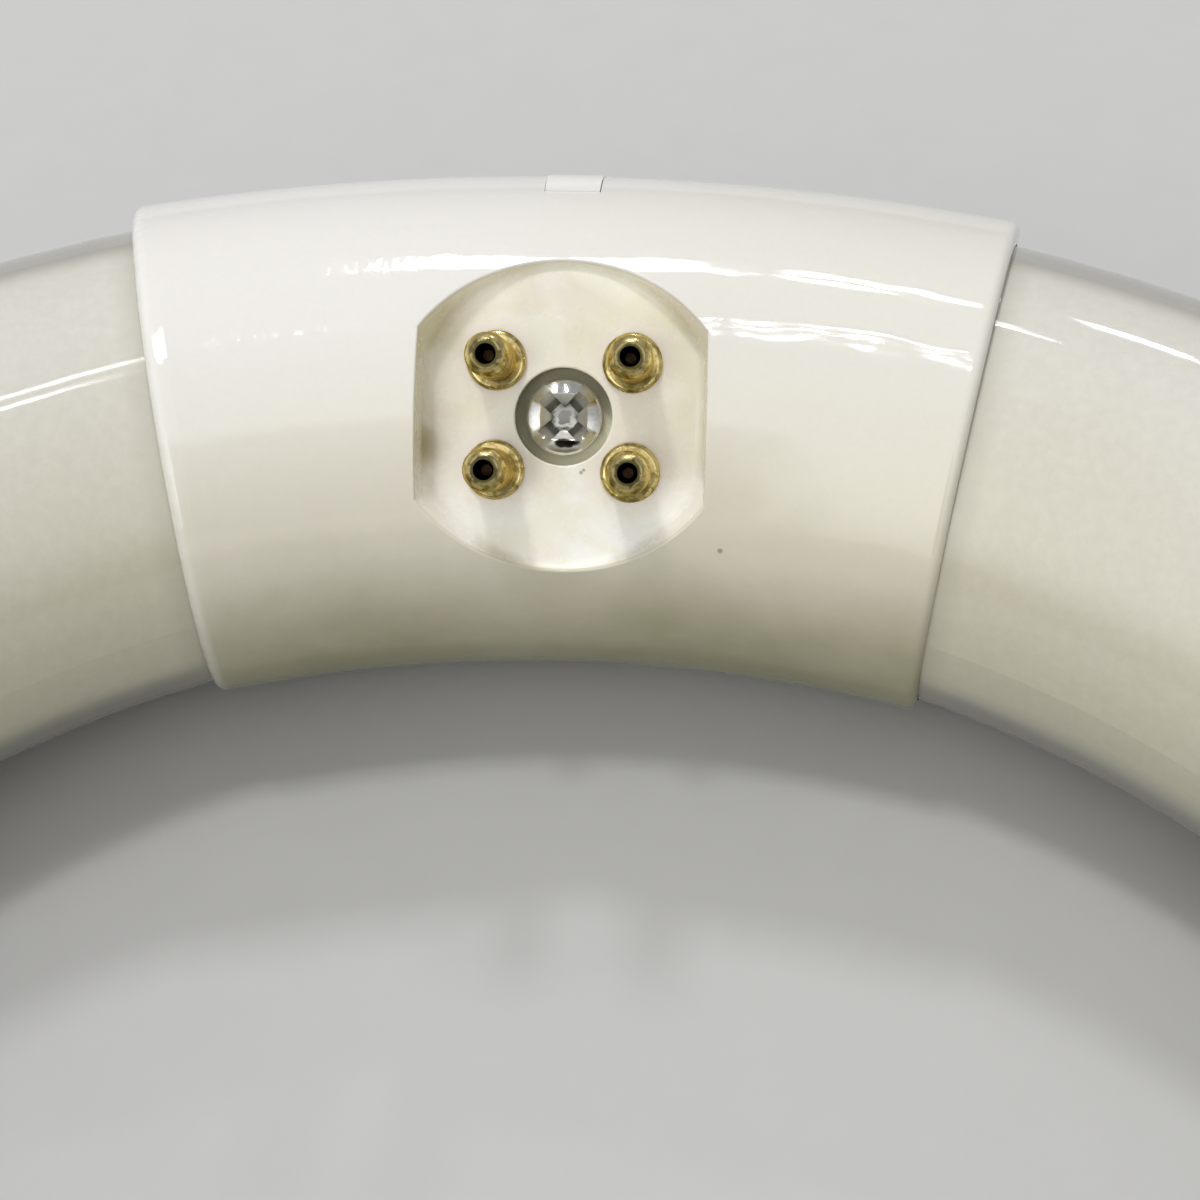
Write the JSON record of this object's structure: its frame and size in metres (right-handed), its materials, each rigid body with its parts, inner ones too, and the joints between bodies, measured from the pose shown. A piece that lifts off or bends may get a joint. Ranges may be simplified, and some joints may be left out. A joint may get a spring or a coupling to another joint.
{
  "type": "circular fluorescent tube",
  "caption": "Ring-shaped fluorescent tube of white-coated glass whose ends meet in a glossy moulded base with recessed brass contact pins around a cross-head screw.",
  "frame": {"origin": "centre of the ring, in the plane of its centreline", "axes": "+Z is the ring's axis, up as the ring lies flat; +Y runs from the centre to the base; the pins point inwards and up, halfway between -Y and +Z"},
  "size_m": [0.1666, 0.1671, 0.0316],
  "materials": {
    "coated_glass": "glossy clear glass over an opaque white coating on its inside",
    "base_plastic": "glossy warm white moulding, paler and duller in the recess",
    "pin_brass": "drawn brass, tarnished around the collar and at the tip",
    "plated_steel": "bright plated steel with tool marks in the cross",
    "lead_wire": "dull nickel-plated wire"
  },
  "bodies": {
    "root": {"glass_tube": "coated_glass", "base_front": "base_plastic", "base_rear": "base_plastic", "base_screw": "plated_steel", "contact_pin_1": "pin_brass", "contact_pin_2": "pin_brass", "contact_pin_3": "pin_brass", "contact_pin_4": "pin_brass", "lead_wire_1": "lead_wire", "lead_wire_2": "lead_wire", "lead_wire_3": "lead_wire", "lead_wire_4": "lead_wire"}
  },
  "joints": []
}
